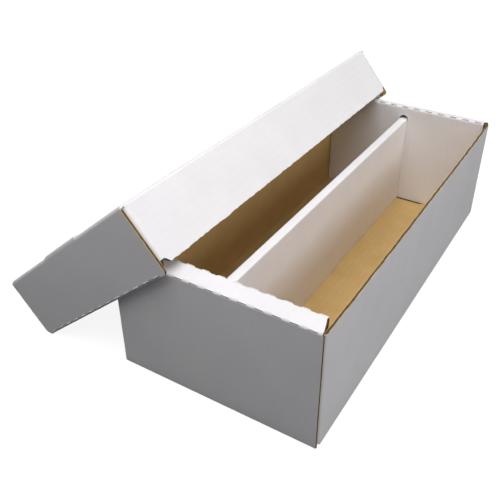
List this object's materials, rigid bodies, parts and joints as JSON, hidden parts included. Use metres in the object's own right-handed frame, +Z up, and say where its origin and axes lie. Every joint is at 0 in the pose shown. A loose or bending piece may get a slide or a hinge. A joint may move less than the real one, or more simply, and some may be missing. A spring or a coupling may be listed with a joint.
{
  "type": "card storage box",
  "caption": "Long two-row card storage box folded from white-faced corrugated board, with hollow double end walls, a centre divider and a lift-off lid leaning on its side.",
  "frame": {"origin": "centre of the tray's underside, on the surface that the box stands on", "axes": "+X across the two rows, away from the leaning lid; +Y along the rows, from the front end to the back end; +Z up"},
  "size_m": [0.3356, 0.4628, 0.1817],
  "materials": {
    "white_faced_board": "matte white liner over a brown corrugated core",
    "kraft_board": "matte brown kraft liner"
  },
  "bodies": {
    "tray": {"tray_floor": "kraft_board", "tray_left_wall": "white_faced_board", "tray_right_wall": "white_faced_board", "tray_front_left_dust_flap": "kraft_board", "tray_front_right_dust_flap": "kraft_board", "tray_back_left_dust_flap": "kraft_board", "tray_back_right_dust_flap": "kraft_board", "tray_front_outer_panel": "white_faced_board", "tray_front_rim": "white_faced_board", "tray_front_inner_panel": "white_faced_board", "tray_back_outer_panel": "white_faced_board", "tray_back_rim": "white_faced_board", "tray_back_inner_panel": "white_faced_board", "divider_left_leaf": "white_faced_board", "divider_right_leaf": "white_faced_board", "divider_ridge": "white_faced_board"},
    "lid": {"lid_top": "white_faced_board", "lid_left_flange": "white_faced_board", "lid_right_flange": "white_faced_board", "lid_front_left_corner_flap": "kraft_board", "lid_front_right_corner_flap": "kraft_board", "lid_back_left_corner_flap": "kraft_board", "lid_back_right_corner_flap": "kraft_board", "lid_front_outer_panel": "white_faced_board", "lid_front_rolled_edge": "white_faced_board", "lid_front_inner_panel": "white_faced_board", "lid_back_outer_panel": "white_faced_board", "lid_back_rolled_edge": "white_faced_board", "lid_back_inner_panel": "white_faced_board"}
  },
  "joints": [
    {"name": "lid_lift", "type": "slide", "parent": "tray", "child": "lid", "axis": [0, 0, 1], "range_m": [0, 0.14]}
  ]
}
